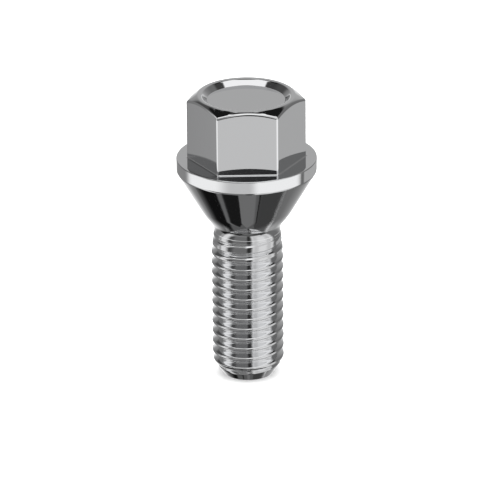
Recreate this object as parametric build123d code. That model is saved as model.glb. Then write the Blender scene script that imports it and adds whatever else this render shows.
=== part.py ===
from build123d import *
from math import atan, degrees, radians, tan
import os

# Lug bolt that holds a road wheel to its hub, one forged piece with a rolled thread. All sizes are in mm.
# It stands on the flat end of its shank, which lies on z = 0, and its axis is +Z, up to the head.

# Hexagon head, with two flats square to the Y axis
hex_across_flats = 16.85
hex_height = 10.9
hex_edge_radius = 0.35
chamfer_angle = 30.0

# Hollow in the top of the head, inside a rim
rim_radius = 7.4
hollow_floor_radius = 6.2
hollow_depth = 0.8

# Flange under the head, and the cone under it that seats in the wheel
flange_radius = 11.48
flange_thickness = 2.14
flange_edge_height = 0.2
seat_radius = 11.25
seat_angle = 60.0

# Shank below the flange: a neck as wide as the blank that the thread is rolled on, then the thread, then a point.
# The neck and the point's end lie these depths inside the thread's crests.
shank_length = 35.93
thread_radius = 5.9
neck_depth = 0.48
neck_length = 1.63
rise_length = 2.6
point_depth = 1.7
point_length = 2.75

# Right-hand thread, M12 x 1.75. Its groove has straight flanks down to the knee, then closes to its root.
# Its depths are measured from the crests.
thread_pitch = 1.75
thread_angle = 60.0
crest_width = 0.32
groove_knee_depth = 0.47
groove_depth = 0.94
first_groove_height = 0.47
runout_turns = 1.0
runout_rise = 0.65

# The groove's cutter reaches this far out past the crests
overcut = 0.02

flange_underside = shank_length
flange_top = flange_underside + flange_thickness
head_top = flange_top + hex_height
neck_radius = thread_radius - neck_depth
neck_top = flange_underside - (seat_radius - neck_radius) / tan(radians(seat_angle / 2))
neck_foot = neck_top - neck_length
full_turns = int((neck_foot - first_groove_height) / thread_pitch - runout_turns)


def hexagon_head():
    """Hexagon bar with rounded edges, cut to the turned shape of the chamfer, the rim and the hollow."""
    outline = RegularPolygon(hex_across_flats / 2, 6, major_radius=False)
    bar = extrude(outline, hex_height)
    bar = Pos(0, 0, flange_top) * fillet(bar.edges().filter_by(Axis.Z), hex_edge_radius)
    reach = hex_across_flats
    reach_height = head_top - (reach - rim_radius) * tan(radians(chamfer_angle))
    floor_height = head_top - hollow_depth
    profile = make_face(
        Polyline(
            (0, flange_top),
            (reach, flange_top),
            (reach, reach_height),
            (rim_radius, head_top),
            (hollow_floor_radius, floor_height),
            (0, floor_height),
            close=True,
        )
    )
    return bar & revolve(Plane.XZ * profile, Axis.Z, 360)


def turned_body():
    """Flange, conical seat, neck and the shank before its thread is cut, as one turned blank."""
    profile = make_face(
        Polyline(
            (0, 0),
            (thread_radius - point_depth, 0),
            (thread_radius, point_length),
            (thread_radius, neck_foot - rise_length),
            (neck_radius, neck_foot),
            (neck_radius, neck_top),
            (seat_radius, flange_underside),
            (flange_radius, flange_underside + flange_edge_height),
            (flange_radius, flange_top),
            (0, flange_top),
            close=True,
        )
    )
    return revolve(Plane.XZ * profile, Axis.Z, 360)


def half_groove_width(depth):
    """Half the width of the groove between its straight flanks, at one depth below the crests."""
    return (thread_pitch - crest_width) / 2 - depth * tan(radians(thread_angle / 2))


def groove_section():
    """Section of the groove's cutter, in the XZ plane, about its own middle height."""
    mouth_radius = thread_radius + overcut
    mouth = half_groove_width(-overcut)
    knee_radius = thread_radius - groove_knee_depth
    knee = half_groove_width(groove_knee_depth)
    upper = [(thread_radius - groove_depth, 0), (knee_radius, knee), (mouth_radius, mouth)]
    lower = [(mouth_radius, -mouth), (knee_radius, -knee)]
    return Plane.XZ * make_face(Polyline(*upper, *lower, close=True))


def groove_turns(start_height, turns, rise):
    """A stretch of the groove along a helix that starts on the +X side and leaves the axis by rise in all."""
    height = turns * thread_pitch
    path = Helix(thread_pitch, height, thread_radius, cone_angle=degrees(atan(rise / height)))
    return Pos(0, 0, start_height) * sweep(groove_section(), path=path, is_frenet=True)


def lug_bolt():
    """The whole bolt: the head on the turned blank, with the thread cut one turn after another."""
    bolt = turned_body() + hexagon_head()
    for turn in range(full_turns):
        bolt -= groove_turns(first_groove_height + turn * thread_pitch, 1, 0)
    runout_height = first_groove_height + full_turns * thread_pitch
    return bolt - groove_turns(runout_height, runout_turns, runout_rise)


os.makedirs("parts", exist_ok=True)
export_step(lug_bolt(), "parts/lug_bolt.step")
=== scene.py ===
"""Looks of a chrome-plated lug bolt: rolled thread, small roundings, plating and a studio round it.

The bolt stands on the flat end of its shank, which lies on z = 0, and its axis is +Z. The camera is on the
-Y side. Sizes of the bolt and the camera are in millimetres, sizes of the studio in metres, and angles in
degrees.
"""

import logging
import math
from dataclasses import dataclass
from enum import Enum

import bmesh
import bpy
from mathutils import Matrix, Vector


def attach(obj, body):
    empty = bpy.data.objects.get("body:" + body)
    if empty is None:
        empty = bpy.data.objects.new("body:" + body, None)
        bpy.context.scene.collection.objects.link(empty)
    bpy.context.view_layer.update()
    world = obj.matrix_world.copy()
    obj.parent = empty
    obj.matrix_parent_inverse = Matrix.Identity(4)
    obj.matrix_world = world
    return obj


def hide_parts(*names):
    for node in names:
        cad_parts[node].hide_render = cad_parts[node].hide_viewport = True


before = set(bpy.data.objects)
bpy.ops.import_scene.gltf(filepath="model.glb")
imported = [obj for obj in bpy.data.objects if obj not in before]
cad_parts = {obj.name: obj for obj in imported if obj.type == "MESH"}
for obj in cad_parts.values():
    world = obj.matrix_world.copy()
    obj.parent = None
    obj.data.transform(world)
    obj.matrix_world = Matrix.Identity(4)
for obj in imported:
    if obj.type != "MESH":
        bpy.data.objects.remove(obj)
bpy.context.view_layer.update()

log = logging.getLogger("lug_bolt")

MILLIMETRE = 0.001
MERGE_DISTANCE = 0.0005
RIM_TOLERANCE = 0.001
MIDDLE_HEIGHT = 24.0
HEXAGON_SIDES = 6
SIDE_ANGLE = 360.0 / HEXAGON_SIDES
WHITE = (1.0, 1.0, 1.0, 1.0)

Point = tuple[float, float]


def spaced(first: float, last: float, steps: int) -> list[float]:
    """Values at equal steps from first to last, both included."""
    return [first + (last - first) * step / steps for step in range(steps + 1)]


def arc(centre: Point, radius: float, start: float, end: float, steps: int) -> list[Point]:
    """Points of an arc, both ends included, whose angles run from the first axis towards the second."""
    angles = [math.radians(angle) for angle in spaced(start, end, steps)]
    return [(centre[0] + radius * math.cos(a), centre[1] + radius * math.sin(a)) for a in angles]


def between(first: Point, last: Point, steps: int) -> list[Point]:
    """Points at equal steps from first to last, without these two."""
    return list(zip(spaced(first[0], last[0], steps), spaced(first[1], last[1], steps)))[1:-1]


def direction(azimuth: float, elevation: float) -> Vector:
    """Unit vector towards an azimuth, counted from -Y towards +X, and an elevation above level."""
    turn, rise = math.radians(azimuth), math.radians(elevation)
    return Vector((math.sin(turn) * math.cos(rise), -math.cos(turn) * math.cos(rise), math.sin(rise)))


def smooth_share(share: float) -> float:
    """Eases a share between 0 and 1, and holds it at 0 or 1 beyond them."""
    held = min(max(share, 0.0), 1.0)
    return held * held * (3.0 - 2.0 * held)


def spin(
    mesh: bmesh.types.BMesh,
    line: list[Vector],
    turn: float,
    steps: int,
    closed: bool = False,
    climb: float = 0.0,
) -> None:
    """Spins a line of points about the Z axis into a skin.

    Args:
        mesh: the mesh that the skin is added to.
        line: the points, in order.
        turn: how far the line is turned.
        steps: number of steps in the turn.
        closed: whether the last step is merged with the first.
        climb: how far each step rises along the axis.
    """
    chain = [mesh.verts.new(place) for place in line]
    edges = [mesh.edges.new(pair) for pair in zip(chain, chain[1:])]
    bmesh.ops.spin(
        mesh,
        geom=chain + edges,
        cent=(0.0, 0.0, 0.0),
        axis=(0.0, 0.0, 1.0),
        dvec=(0.0, 0.0, climb),
        angle=math.radians(turn),
        steps=steps,
        use_merge=closed,
        use_normal_flip=False,
        use_duplicate=False,
    )


def round_edges(
    mesh: bmesh.types.BMesh,
    edges: list[bmesh.types.BMEdge],
    reach: float,
    segments: int,
) -> None:
    """Bevels edges into a rounding.

    Args:
        mesh: the mesh that the edges belong to.
        edges: the edges that are rounded.
        reach: how far the rounding reaches on each side of an edge.
        segments: number of faces across the rounding.
    """
    bmesh.ops.bevel(
        mesh,
        geom=edges,
        offset=reach,
        offset_type="OFFSET",
        segments=segments,
        profile=0.5,
        affect="EDGES",
        clamp_overlap=True,
        material=-1,
    )


def rim_edges(mesh: bmesh.types.BMesh, height: float) -> list[bmesh.types.BMEdge]:
    """Finds the open edges of a mesh that lie at one height.

    Args:
        mesh: the mesh that is searched.
        height: height of the rim.

    Returns:
        The edges found.
    """
    return [
        edge
        for edge in mesh.edges
        if edge.is_boundary and all(abs(v.co.z - height) < RIM_TOLERANCE for v in edge.verts)
    ]


def linked(name: str, data: bpy.types.ID) -> bpy.types.Object:
    """Adds an object to the scene.

    Args:
        name: the object's name.
        data: its mesh, light or camera.

    Returns:
        The object.
    """
    made = bpy.data.objects.new(name, data)
    bpy.context.scene.collection.objects.link(made)
    return made


def finished(name: str, mesh: bmesh.types.BMesh) -> bpy.types.Object:
    """Turns a mesh under construction into an object of the scene.

    Args:
        name: the object's name.
        mesh: the mesh, which is freed.

    Returns:
        The object.
    """
    data = bpy.data.meshes.new(name)
    mesh.to_mesh(data)
    mesh.free()
    return linked(name, data)


@dataclass(frozen=True)
class ThreadForm:
    """Section of the rolled thread, with rounded roots and crests."""

    pitch: float = 1.75
    crest_radius: float = 5.9
    root_radius: float = 4.9
    root_rounding: float = 0.2
    crest_rounding: float = 0.3
    flank_half_angle: float = 30.0
    rounding_steps: int = 5
    flank_steps: int = 2

    def lower_half(self) -> list[Point]:
        """Works out the lower half of one pitch.

        Returns:
            Points (radius, height) from the middle of a root up to the edge of the next crest's land.
        """
        turn = 90.0 - self.flank_half_angle
        root_centre = (self.root_radius + self.root_rounding, 0.0)
        root = arc(root_centre, self.root_rounding, 180.0, 180.0 - turn, self.rounding_steps)
        crest_centre = (self.crest_radius - self.crest_rounding, 0.0)
        crest = arc(crest_centre, self.crest_rounding, -turn, 0.0, self.rounding_steps)
        rise = math.tan(math.radians(self.flank_half_angle)) * (crest[0][0] - root[-1][0])
        lift = root[-1][1] + rise - crest[0][1]
        crest = [(r, z + lift) for r, z in crest]
        return root + between(root[-1], crest[0], self.flank_steps) + crest

    def one_pitch(self) -> list[Point]:
        """Points (radius, height) of one whole pitch, from the middle of a root to that of the next."""
        half = self.lower_half()
        return half + [(r, self.pitch - z) for r, z in reversed(half)]


@dataclass
class ThreadedShank:
    """Shank with its helical thread, which runs out under the waist above and is cut by the point below.

    Past the full turns, the root rises by the run-out's rise in each turn.
    """

    form: ThreadForm = ThreadForm()
    first_root_height: float = 0.47
    turns_below: int = 2
    full_turns: float = 12.0
    runout_rise: float = 0.28
    point_end_radius: float = 4.2
    point_length: float = 2.75
    taper_start: float = 21.6
    join_radius: float = 5.55
    join_height: float = 24.8
    end_rounding: float = 0.12
    end_steps: int = 3
    steps_per_turn: int = 112

    def outer_limit(self, height: float) -> float:
        """Works out the turned shape that bounds the thread.

        Args:
            height: a height on the shank.

        Returns:
            The shape's radius at that height.
        """
        crest = self.form.crest_radius
        if height < self.point_length:
            return self.point_end_radius + (crest - self.point_end_radius) * height / self.point_length
        share = (height - self.taper_start) / (self.join_height - self.taper_start)
        return crest + (self.join_radius - crest) * min(max(share, 0.0), 1.0)

    def turns_at(self, place: Vector) -> float:
        """Number of turns from the first root to the groove that a place on the thread belongs to."""
        share = (math.atan2(place.y, place.x) / math.tau) % 1.0
        return round((place.z - self.first_root_height) / self.form.pitch - share) + share

    def build(self, mesh: bmesh.types.BMesh) -> None:
        """Makes the shank from its end face up to an open rim at the join height.

        Args:
            mesh: an empty mesh.
        """
        pitch = self.form.pitch
        start = self.first_root_height - self.turns_below * pitch
        line = [Vector((r, 0.0, start + z)) for r, z in self.form.one_pitch()]
        spin(mesh, line, 360.0, self.steps_per_turn, climb=pitch / self.steps_per_turn)
        turn = mesh.verts[:] + mesh.edges[:] + mesh.faces[:]
        for index in range(1, math.ceil((self.join_height - start) / pitch) + 1):
            copied = bmesh.ops.duplicate(mesh, geom=turn)["geom"]
            moved = [e for e in copied if isinstance(e, bmesh.types.BMVert)]
            bmesh.ops.translate(mesh, vec=(0.0, 0.0, index * pitch), verts=moved)
        bmesh.ops.remove_doubles(mesh, verts=mesh.verts, dist=MERGE_DISTANCE)
        self.cut(mesh, 0.0, -1.0)
        self.cut(mesh, self.join_height, 1.0)
        self.shape(mesh)
        self.close_end(mesh)

    def cut(self, mesh: bmesh.types.BMesh, height: float, side: float) -> None:
        """Cuts the mesh square to its axis and drops the part on one side.

        Args:
            mesh: the mesh that is cut.
            height: height of the cut.
            side: 1 to drop what lies above it, and -1 to drop what lies below.
        """
        bmesh.ops.bisect_plane(
            mesh,
            geom=mesh.verts[:] + mesh.edges[:] + mesh.faces[:],
            dist=MERGE_DISTANCE,
            plane_co=(0.0, 0.0, height),
            plane_no=(0.0, 0.0, side),
            clear_outer=True,
            clear_inner=False,
        )

    def shape(self, mesh: bmesh.types.BMesh) -> None:
        """Lifts the run-out's root out of the shank, and moves the crests in to the turned shape.

        Args:
            mesh: the shank's mesh.
        """
        for vertex in mesh.verts:
            radius = math.hypot(vertex.co.x, vertex.co.y)
            past = max(0.0, self.turns_at(vertex.co) - self.full_turns)
            wanted = min(radius + self.runout_rise * past, self.outer_limit(vertex.co.z))
            vertex.co.x *= wanted / radius
            vertex.co.y *= wanted / radius

    def close_end(self, mesh: bmesh.types.BMesh) -> None:
        """Closes the shank's flat end and rounds its edge.

        Args:
            mesh: the shank's mesh.
        """
        rim = rim_edges(mesh, 0.0)
        bmesh.ops.contextual_create(mesh, geom=rim)
        round_edges(mesh, rim, self.end_rounding, self.end_steps)


@dataclass
class SeatAndFlange:
    """Waist, conical seat and flange, turned about the axis as one skin with an open rim at each end.

    Slopes are measured from the axis. Between the seat and the wall the section turns in two corners. The
    lower turn is how far the first lies outside and above the seat's top, and the upper turn is how far the
    second lies inside and below the wall's foot.
    """

    lip_rounding: float = 0.3
    lip_slope: float = 22.0
    waist_radius: float = 5.44
    waist_height: float = 25.35
    lower_rounding: float = 1.0
    upper_rounding: float = 2.6
    foot_slope: float = 37.0
    seat_slope: float = 30.0
    blend_rounding: float = 17.0
    seat_top: Point = (11.36, 35.78)
    lower_turn: Point = (0.07, 0.1)
    upper_turn: Point = (0.02, 0.08)
    flange_radius: float = 11.474
    wall_foot: float = 36.1
    top: float = 38.07
    edge_rounding: float = 0.16
    inner_rim: float = 10.9
    lip_steps: int = 4
    small_steps: int = 5
    wide_steps: int = 10
    spin_steps: int = 144

    def waist(self) -> list[Point]:
        """Works out the waist between the thread's end and the seat.

        Returns:
            Points (radius, height) from the lip over the thread's end up to the foot of the seat.
        """
        radius, height = self.waist_radius, self.waist_height
        below, above = self.lower_rounding, self.upper_rounding
        lower = arc((radius + below, height), below, 180.0 + self.lip_slope, 180.0, self.small_steps)
        upper = arc((radius + above, height), above, 180.0, 180.0 - self.foot_slope, self.wide_steps)
        slope = math.radians(self.lip_slope)
        centre = (
            lower[0][0] - self.lip_rounding * math.cos(slope),
            lower[0][1] - self.lip_rounding * math.sin(slope),
        )
        lip = arc(centre, self.lip_rounding, 0.0, self.lip_slope, self.lip_steps)
        return lip + lower[1:] + upper[1:]

    def blend(self, foot: Point) -> list[Point]:
        """Works out the wide rounding between the steeper foot of the seat and its cone.

        Args:
            foot: the point (radius, height) at which the waist ends.

        Returns:
            Points (radius, height) of the rounding, from its lower end up.
        """
        steep, slope = (math.tan(math.radians(angle)) for angle in (self.foot_slope, self.seat_slope))
        rise = (self.seat_top[0] - foot[0] - slope * (self.seat_top[1] - foot[1])) / (steep - slope)
        corner = (foot[0] + steep * rise, foot[1] + rise)
        angle = math.radians(self.foot_slope)
        back = self.blend_rounding * math.tan(math.radians((self.foot_slope - self.seat_slope) / 2))
        start = (corner[0] - back * math.sin(angle), corner[1] - back * math.cos(angle))
        centre = (
            start[0] - self.blend_rounding * math.cos(angle),
            start[1] + self.blend_rounding * math.sin(angle),
        )
        return arc(centre, self.blend_rounding, -self.foot_slope, -self.seat_slope, self.wide_steps)

    def profile(self) -> list[Point]:
        """Works out the section that is turned.

        Returns:
            Points (radius, height) from the lip up to the rim in the flange's top face.
        """
        waist = self.waist()
        wall = [
            self.seat_top,
            (self.seat_top[0] + self.lower_turn[0], self.seat_top[1] + self.lower_turn[1]),
            (self.flange_radius - self.upper_turn[0], self.wall_foot - self.upper_turn[1]),
            (self.flange_radius, self.wall_foot),
        ]
        centre = (self.flange_radius - self.edge_rounding, self.top - self.edge_rounding)
        edge = arc(centre, self.edge_rounding, 0.0, 90.0, self.small_steps)
        return [*waist, *self.blend(waist[-1]), *wall, *edge, (self.inner_rim, self.top)]

    def build(self, mesh: bmesh.types.BMesh) -> None:
        """Makes the turned skin, from the rim under the waist to the rim round the head's foot."""
        spin(mesh, [Vector((r, 0.0, z)) for r, z in self.profile()], 360.0, self.spin_steps, closed=True)


@dataclass
class HexagonHead:
    """Hexagon with rounded edges, a foot fillet, a chamfered top and a hollow inside a rounded rim.

    The rim's radius is that of its crest. The chamfer's and the wall's angles are measured from level.
    """

    apothem: float = 8.425
    edge_radius: float = 0.42
    foot_radius: float = 0.2
    foot_height: float = 38.07
    top: float = 48.92
    rim_radius: float = 7.63
    rim_rounding: float = 0.8
    chamfer_angle: float = 30.0
    wall_angle: float = 45.0
    floor_height: float = 47.95
    floor_rounding: float = 0.2
    arris_rounding: float = 0.3
    corner_steps: int = 8
    flat_steps: int = 16
    foot_steps: int = 6
    rim_steps: int = 10
    floor_steps: int = 8
    arris_steps: int = 4

    def outline(self, offset: float) -> list[Point]:
        """Works out the hexagon with its rounded corners.

        Args:
            offset: how far the outline lies outside the head's flats.

        Returns:
            Its points, as x and y, in order round the axis.
        """
        reach = (self.apothem - self.edge_radius) / math.cos(math.radians(SIDE_ANGLE / 2))
        centres = arc((0.0, 0.0), reach, 0.0, 360.0, HEXAGON_SIDES)[:-1]
        radius = self.edge_radius + offset
        corners = [
            arc(centre, radius, SIDE_ANGLE * (side - 0.5), SIDE_ANGLE * (side + 0.5), self.corner_steps)
            for side, centre in enumerate(centres)
        ]
        points: list[Point] = []
        for corner, following in zip(corners, corners[1:] + corners[:1]):
            points += corner + between(corner[-1], following[0], self.flat_steps)
        return points

    def ring(self, mesh: bmesh.types.BMesh, places: list[Vector]) -> list[bmesh.types.BMEdge]:
        """Adds a ring of vertices at the given places.

        Args:
            mesh: the bolt's mesh.
            places: where its vertices go, in order round the axis.

        Returns:
            The ring's edges.
        """
        made = bmesh.ops.create_circle(mesh, cap_ends=False, radius=1.0, segments=len(places))["verts"]
        for vertex, place in zip(made, places):
            vertex.co = place
        return list(dict.fromkeys(e for v in made for e in v.link_edges))

    def chamfer_height(self, radius: float) -> float:
        """Works out the height of the chamfer's cone.

        Args:
            radius: a distance from the axis.

        Returns:
            The cone's height at that distance.
        """
        slope = math.radians(self.chamfer_angle)
        start = self.rim_radius + self.rim_rounding * math.sin(slope)
        height = self.top - self.rim_rounding * (1 - math.cos(slope))
        return height - (radius - start) * math.tan(slope)

    def hexagon_rings(self) -> list[list[Vector]]:
        """Works out the rings that have the hexagon's outline.

        Returns:
            Places of the rings, from the flange over the foot fillet up to the edge of the chamfer.
        """
        centre = (self.foot_radius, self.foot_height + self.foot_radius)
        foot = arc(centre, self.foot_radius, -90.0, -180.0, self.foot_steps)
        rings = [[Vector((x, y, height)) for x, y in self.outline(offset)] for offset, height in foot]
        edge = [Vector((x, y, self.chamfer_height(math.hypot(x, y)))) for x, y in self.outline(0.0)]
        return [*rings, edge]

    def round_rings(self) -> list[list[Vector]]:
        """Works out the round rings of the head.

        Returns:
            Places of the rings, from the chamfer's inner edge over the rim and down to the hollow's floor.
        """
        start, end = 90.0 - self.chamfer_angle, 90.0 + self.wall_angle
        rim_centre = (self.rim_radius, self.top - self.rim_rounding)
        rim = arc(rim_centre, self.rim_rounding, start, end, self.rim_steps)
        drop = rim[-1][1] - self.floor_height
        corner = rim[-1][0] - drop / math.tan(math.radians(self.wall_angle))
        reach = self.floor_rounding * math.tan(math.radians(self.wall_angle / 2))
        floor_centre = (corner - reach, self.floor_height + self.floor_rounding)
        floor = arc(floor_centre, self.floor_rounding, self.wall_angle - 90.0, -90.0, self.floor_steps)
        angles = [math.atan2(y, x) for x, y in self.outline(0.0)]
        return [[Vector((r * math.cos(a), r * math.sin(a), z)) for a in angles] for r, z in rim + floor]

    def build(self, mesh: bmesh.types.BMesh) -> None:
        """Adds the head, joins it to the flange's inner rim and closes the hollow's floor.

        Args:
            mesh: the bolt's mesh, with the flange's inner rim open.
        """
        hexagon = self.hexagon_rings()
        rings = [rim_edges(mesh, self.foot_height)]
        for places in hexagon + self.round_rings():
            rings.append(self.ring(mesh, places))
            bmesh.ops.bridge_loops(mesh, edges=rings[-2] + rings[-1])
        bmesh.ops.contextual_create(mesh, geom=rings[-1])
        round_edges(mesh, rings[len(hexagon)], self.arris_rounding, self.arris_steps)


@dataclass(frozen=True)
class ChromePlate:
    """Bright chrome plating over rolled and forged steel, with a faint ripple."""

    name: str = "chrome_plate"
    colour: tuple[float, float, float] = (0.86, 0.865, 0.875)
    roughness: float = 0.05
    ripple_scale: float = 900.0
    ripple_detail: float = 1.0
    ripple_strength: float = 0.02
    ripple_height: float = 0.05

    def material(self) -> bpy.types.Material:
        """Makes the plating as a node material that reads the piece's own coordinates.

        Returns:
            The material.
        """
        made = bpy.data.materials.new(self.name)
        made.use_nodes = True
        nodes, links = made.node_tree.nodes, made.node_tree.links
        shader = nodes["Principled BSDF"]
        shader.inputs["Base Color"].default_value = (*self.colour, 1.0)
        shader.inputs["Metallic"].default_value = 1.0
        shader.inputs["Roughness"].default_value = self.roughness
        place = nodes.new("ShaderNodeTexCoord")
        noise = nodes.new("ShaderNodeTexNoise")
        noise.inputs["Scale"].default_value = self.ripple_scale
        noise.inputs["Detail"].default_value = self.ripple_detail
        bump = nodes.new("ShaderNodeBump")
        bump.inputs["Strength"].default_value = self.ripple_strength
        bump.inputs["Distance"].default_value = self.ripple_height * MILLIMETRE
        links.new(place.outputs["Object"], noise.inputs["Vector"])
        links.new(noise.outputs["Fac"], bump.inputs["Height"])
        links.new(bump.outputs["Normal"], shader.inputs["Normal"])
        return made


@dataclass
class LugBolt:
    """The whole bolt as one closed skin."""

    shank: ThreadedShank
    seat: SeatAndFlange
    head: HexagonHead
    finish: ChromePlate
    name: str = "plated_lug_bolt"
    sharp_angle: float = 50.0

    def build(self) -> bpy.types.Object:
        """Makes the skin and brings it to metres.

        Returns:
            The finished piece.
        """
        mesh = bmesh.new()
        self.seat.build(mesh)
        self.head.build(mesh)
        self.add_shank(mesh)
        bmesh.ops.recalc_face_normals(mesh, faces=mesh.faces)
        bmesh.ops.scale(mesh, vec=(MILLIMETRE,) * 3, verts=mesh.verts)
        open_edges = sum(not e.is_manifold for e in mesh.edges)
        for face in mesh.faces:
            face.smooth = True
        piece = finished(self.name, mesh)
        piece.data.set_sharp_from_angle(angle=math.radians(self.sharp_angle))
        weighted = piece.modifiers.new("weighted", "WEIGHTED_NORMAL")
        weighted.keep_sharp = True
        weighted.mode = "FACE_AREA"
        log.info("%s: %d faces, %d open edges", self.name, len(piece.data.polygons), open_edges)
        return piece

    def add_shank(self, mesh: bmesh.types.BMesh) -> None:
        """Adds the shank, and joins its rim to the rim under the waist.

        Args:
            mesh: the bolt's mesh, which is still open under its waist.
        """
        apart = bmesh.new()
        self.shank.build(apart)
        data = bpy.data.meshes.new("shank")
        apart.to_mesh(data)
        apart.free()
        mesh.from_mesh(data)
        bpy.data.meshes.remove(data)
        bmesh.ops.bridge_loops(mesh, edges=[e for e in mesh.edges if e.is_boundary])

    def dress(self, piece: bpy.types.Object) -> None:
        """Gives the piece its plating and sets it on the frame, in the place of the CAD node.

        Args:
            piece: the skin that build made.
        """
        piece.data.materials.append(self.finish.material())
        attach(piece, "root")
        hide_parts("lug_bolt")


class Tone(Enum):
    """Brightness of a studio card, as the light it shows to the plating."""

    BLACK = 0.006
    JET = 0.01
    SOOT = 0.03
    INK = 0.05
    COAL = 0.07
    IRON = 0.1
    SLATE = 0.13
    LEAD = 0.16
    DIM = 0.2
    DUSK = 0.25
    SHADE = 0.3
    GREY = 0.36
    ASH = 0.42
    PALE = 0.58
    LIGHT = 0.76
    BRIGHT = 0.96


@dataclass(frozen=True)
class CardGlow:
    """Even glow of a studio card, which is clear where the card fades out."""

    tone: Tone

    def material(self) -> bpy.types.Material:
        """Makes the glow, or finds it if a card of the same tone has it already.

        Returns:
            The material.
        """
        name = f"card_{self.tone.name.lower()}"
        made = bpy.data.materials.get(name)
        if made:
            return made
        made = bpy.data.materials.new(name)
        made.use_nodes = True
        nodes, links = made.node_tree.nodes, made.node_tree.links
        nodes.clear()
        shown = nodes.new("ShaderNodeAttribute")
        shown.attribute_type = "GEOMETRY"
        shown.attribute_name = "shown"
        clear = nodes.new("ShaderNodeBsdfTransparent")
        glow = nodes.new("ShaderNodeEmission")
        glow.inputs["Color"].default_value = WHITE
        glow.inputs["Strength"].default_value = self.tone.value
        mix = nodes.new("ShaderNodeMixShader")
        links.new(shown.outputs["Fac"], mix.inputs["Fac"])
        links.new(clear.outputs["BSDF"], mix.inputs[1])
        links.new(glow.outputs["Emission"], mix.inputs[2])
        out = nodes.new("ShaderNodeOutputMaterial")
        links.new(mix.outputs["Shader"], out.inputs["Surface"])
        return made


@dataclass(frozen=True)
class Card:
    """A studio card: part of a sphere round the bolt that only reflections show.

    Azimuth 0 is the camera's side and +90 is its right. Elevation 0 is level. The fades are the widths of the
    soft edges: left, right, low and high. Columns and rows are about a step wide at most, and less where a
    soft edge is narrow.
    """

    name: str
    azimuths: tuple[float, float]
    elevations: tuple[float, float]
    tone: Tone
    fades: tuple[float, float, float, float]
    column_step: float = 3.0
    row_step: float = 4.0
    columns_per_fade: float = 3.0
    rows_per_fade: int = 6
    tolerance: float = 0.01

    def shown(self, azimuth: float, elevation: float) -> float:
        """How solid the card is in one direction, from 0 at its outer edge to 1 inside its soft edges.

        Args:
            azimuth: degrees past the card's first azimuth.
            elevation: degrees above level.

        Returns:
            The share of the card's light that is shown there.
        """
        left, right = self.azimuths
        low, high = self.elevations
        insets = (azimuth, right - left - azimuth, elevation - low, high - elevation)
        return math.prod(smooth_share(inset / fade) for inset, fade in zip(insets, self.fades) if fade > 0.0)

    def rows(self) -> list[float]:
        """Works out the card's rows, which lie closer together in its soft edges.

        Returns:
            Their elevations, from the lowest up.
        """
        low, high = self.elevations
        inner_low, inner_high = low + self.fades[2], high - self.fades[3]
        steps = max(1, round((inner_high - inner_low) / self.row_step))
        rows = spaced(low, inner_low, self.rows_per_fade)[:-1]
        rows += spaced(inner_low, inner_high, steps)
        rows += spaced(inner_high, high, self.rows_per_fade)[1:]
        return [row for i, row in enumerate(rows) if i == 0 or row > rows[i - 1] + self.tolerance]

    def fade_out(self, mesh: bmesh.types.BMesh, distance: float) -> None:
        """Writes to each vertex of the card how solid it is there.

        Args:
            mesh: the card's mesh.
            distance: the sphere's radius.
        """
        turn = self.azimuths[1] - self.azimuths[0]
        layer = mesh.verts.layers.float.new("shown")
        for vertex in mesh.verts:
            x, y, z = vertex.co
            azimuth = (math.degrees(math.atan2(x, -y)) - self.azimuths[0]) % 360.0
            if azimuth > turn + self.tolerance:
                azimuth = 0.0 if azimuth > 180.0 + turn / 2 else turn
            elevation = math.degrees(math.asin(max(-1.0, min(1.0, z / distance))))
            vertex[layer] = self.shown(azimuth, elevation)

    def build(self, distance: float) -> bpy.types.Object:
        """Makes the card as an arc spun about the vertical axis.

        Args:
            distance: the sphere's radius.

        Returns:
            The card, which neither the camera nor the floor sees.
        """
        turn = self.azimuths[1] - self.azimuths[0]
        steps = [fade / self.columns_per_fade for fade in self.fades[:2] if fade > 0.0]
        columns = max(2, round(turn / min([self.column_step, *steps])))
        mesh = bmesh.new()
        spin(mesh, [direction(self.azimuths[0], row) * distance for row in self.rows()], turn, columns)
        self.fade_out(mesh, distance)
        card = finished(self.name, mesh)
        card.location.z = MIDDLE_HEIGHT * MILLIMETRE
        card.data.materials.append(CardGlow(self.tone).material())
        card.visible_camera = False
        card.visible_diffuse = False
        card.visible_transmission = False
        card.visible_shadow = False
        return card


@dataclass(frozen=True)
class MattWhite:
    """Matt white of the studio's floor."""

    name: str = "floor_white"
    whiteness: float = 0.9
    roughness: float = 0.9

    def material(self) -> bpy.types.Material:
        """Makes the floor's finish, which has no gloss.

        Returns:
            The material.
        """
        made = bpy.data.materials.new(self.name)
        made.use_nodes = True
        shader = made.node_tree.nodes["Principled BSDF"]
        shader.inputs["Base Color"].default_value = (*(self.whiteness,) * 3, 1.0)
        shader.inputs["Roughness"].default_value = self.roughness
        shader.inputs["Specular IOR Level"].default_value = 0.0
        return made


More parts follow.
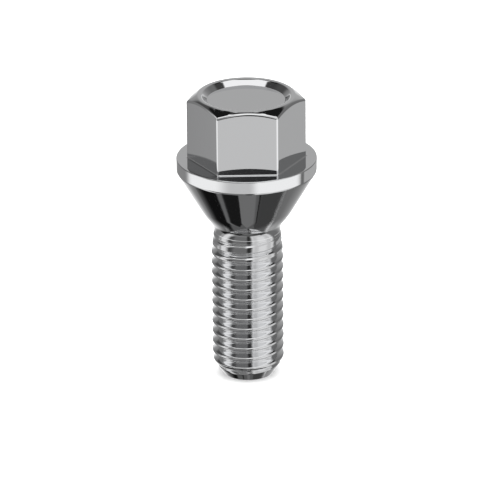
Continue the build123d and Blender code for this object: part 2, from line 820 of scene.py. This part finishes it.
@dataclass
class Studio:
    """Pale floor, soft lamps, a white surround and the cards that the plating reflects."""

    floor_size: float = 6.0
    floor_gap: float = 0.00002
    world_strength: float = 1.0
    lamp_watts: float = 6.0
    lamp_size: float = 1.2
    lamp_distance: float = 1.0
    card_distance: float = 0.62
    card_spacing: float = 0.002

    def cards(self) -> list[Card]:
        """Lists the cards.

        Returns:
            The cards, from the far ones to those that lie in front of them.
        """
        return [
            Card("back", (122, 238), (2, 76), Tone.ASH, (16, 12, 12, 3)),
            Card("right_light", (8, 100), (-62, 57), Tone.PALE, (16, 24, 8, 3)),
            Card("left_light", (-112, -62), (-62, 30), Tone.SHADE, (12, 12, 8, 6)),
            Card("right_low", (92, 176), (-64, 10), Tone.GREY, (16, 26, 20, 8)),
            Card("right_dim", (84, 160), (-62, 54), Tone.LEAD, (16, 34, 6, 6)),
            Card("left_dim", (-176, -98), (-64, 56), Tone.DIM, (36, 14, 8, 6)),
            Card("left_upper_dim", (-156, -100), (18, 56), Tone.COAL, (12, 8, 10, 6)),
            Card("upper_left", (-134, -80), (38, 60), Tone.INK, (12, 8, 10, 3)),
            Card("upper_right", (86, 122), (40, 58), Tone.INK, (8, 12, 6, 3)),
            Card("front_dark", (-74, 20), (-68, 30), Tone.LEAD, (12, 12, 12, 3)),
            Card("front_high", (-78, -6), (26, 57), Tone.DIM, (14, 12, 4, 3)),
            Card("front_line", (-6, 18), (-68, 34), Tone.SOOT, (7, 12, 6, 4)),
            Card("front_line_left", (-72, -44), (-50, 36), Tone.COAL, (8, 14, 4, 3)),
            Card("left_gleam", (-100, -68), (-60, 20), Tone.LIGHT, (8, 12, 6, 2)),
            Card("right_gleam", (28, 72), (-58, 22), Tone.LIGHT, (14, 14, 16, 2)),
            Card("above_left", (-142, -107), (46, 90), Tone.JET, (8, 4, 3, 0)),
            Card("above_right", (107, 142), (44, 90), Tone.JET, (4, 8, 6, 0)),
            Card("above", (-180, 180), (75, 90), Tone.INK, (0, 0, 4, 0)),
            Card("below", (-180, 180), (-90, -56), Tone.IRON, (0, 0, 0, 10)),
            Card("cone_left", (-150, -101), (-72, -44), Tone.BLACK, (26, 3, 4, 3)),
            Card("cone_stripe", (-103, -93), (-76, -58), Tone.SLATE, (3, 3, 3, 3)),
            Card("cone_black", (-94, -45), (-82, -66), Tone.JET, (3, 3, 1, 3)),
            Card("cone_right", (64, 132), (-82, -54), Tone.INK, (2, 26, 1, 7)),
            Card("nadir", (-47, 60), (-90, -78), Tone.LEAD, (3, 18, 0, 1)),
            Card("cone_slot", (58, 65), (-80, -70), Tone.BLACK, (2, 2, 1, 2)),
            Card("band_light", (-128, 104), (-23, -15), Tone.BRIGHT, (28, 20, 1, 1)),
            Card("band_dip", (-56, 20), (-23, -15), Tone.PALE, (30, 18, 1, 1)),
            Card("band_left", (-172, -106), (-23, -15), Tone.DUSK, (16, 20, 1, 1)),
            Card("band_slot", (97, 110), (-23, -15), Tone.LEAD, (3, 5, 1, 1)),
            Card("band_right", (104, 176), (-23, -15), Tone.ASH, (4, 36, 1, 1)),
        ]

    def build(self) -> None:
        """Makes the floor, the cards, the lamps and the world."""
        floor = self.floor()
        cards = [
            card.build(self.card_distance - self.card_spacing * index)
            for index, card in enumerate(self.cards())
        ]
        self.lamp("left", -70.0, 50.0)
        self.lamp("right", 70.0, 50.0)
        self.lamp("back", 180.0, 60.0)
        self.world()
        log.info("studio: %d cards", len(cards))

    def floor(self) -> bpy.types.Object:
        """Makes the pale floor, which keeps the bolt's shadow.

        Returns:
            The floor, which reflections don't show.
        """
        mesh = bmesh.new()
        bmesh.ops.create_grid(mesh, x_segments=1, y_segments=1, size=self.floor_size / 2)
        floor = finished("floor", mesh)
        floor.location.z = -self.floor_gap
        floor.data.materials.append(MattWhite().material())
        floor.visible_glossy = False
        return floor

    def lamp(self, name: str, azimuth: float, elevation: float) -> None:
        """Makes one wide soft lamp that shines on the foot of the bolt, and that reflections don't show.

        Args:
            name: the side that it stands on.
            azimuth: its direction, counted as a card's is.
            elevation: its direction above level.
        """
        data = bpy.data.lights.new(f"{name}_lamp", "AREA")
        data.shape = "DISK"
        data.size = self.lamp_size
        data.energy = self.lamp_watts
        back = direction(azimuth, elevation)
        lamp = linked(f"{name}_lamp", data)
        lamp.location = back * self.lamp_distance
        lamp.rotation_mode = "QUATERNION"
        lamp.rotation_quaternion = back.to_track_quat("Z", "Y")
        lamp.visible_glossy = False

    def world(self) -> None:
        """Makes the white surround."""
        world = bpy.data.worlds.new("surround")
        bpy.context.scene.world = world
        world.use_nodes = True
        nodes, links = world.node_tree.nodes, world.node_tree.links
        nodes.clear()
        light = nodes.new("ShaderNodeBackground")
        light.inputs["Color"].default_value = WHITE
        light.inputs["Strength"].default_value = self.world_strength
        out = nodes.new("ShaderNodeOutputWorld")
        links.new(light.outputs["Background"], out.inputs["Surface"])


@dataclass
class CameraRig:
    """The camera that gives the photograph's view.

    Its focal length, the frame, and the target's place left of and above the frame's middle are in pixels.
    """

    target_height: float = MIDDLE_HEIGHT
    distance: float = 700.0
    azimuth: float = -1.2
    elevation: float = 22.7
    roll: float = -0.5
    sensor_width: float = 36.0
    focal_pixels: float = 4270.0
    frame_pixels: float = 500.0
    target_left: float = 2.76
    target_up: float = 13.9

    def build(self) -> None:
        """Makes the scene's camera."""
        data = bpy.data.cameras.new("camera")
        data.sensor_width = self.sensor_width
        data.lens = self.focal_pixels / self.frame_pixels * self.sensor_width
        data.shift_x = self.target_left / self.frame_pixels
        data.shift_y = -self.target_up / self.frame_pixels
        data.dof.use_dof = False
        back = direction(self.azimuth, self.elevation)
        camera = linked("camera", data)
        camera.location = (Vector((0.0, 0.0, self.target_height)) + back * self.distance) * MILLIMETRE
        turned = back.to_track_quat("Z", "Y").to_matrix() @ Matrix.Rotation(math.radians(self.roll), 3, "Z")
        camera.rotation_mode = "QUATERNION"
        camera.rotation_quaternion = turned.to_quaternion()
        bpy.context.scene.camera = camera


def write_sizes() -> None:
    """Brings the places of all objects up to date."""
    bpy.context.view_layer.update()


def main() -> None:
    """Builds the bolt, then the studio and the camera."""
    logging.basicConfig(level=logging.INFO, format="%(name)s: %(message)s")
    bpy.context.scene.view_settings.view_transform = "Standard"
    bolt = LugBolt(ThreadedShank(), SeatAndFlange(), HexagonHead(), ChromePlate())
    bolt.dress(bolt.build())
    Studio().build()
    CameraRig().build()
    write_sizes()


if __name__ == "__main__":
    main()
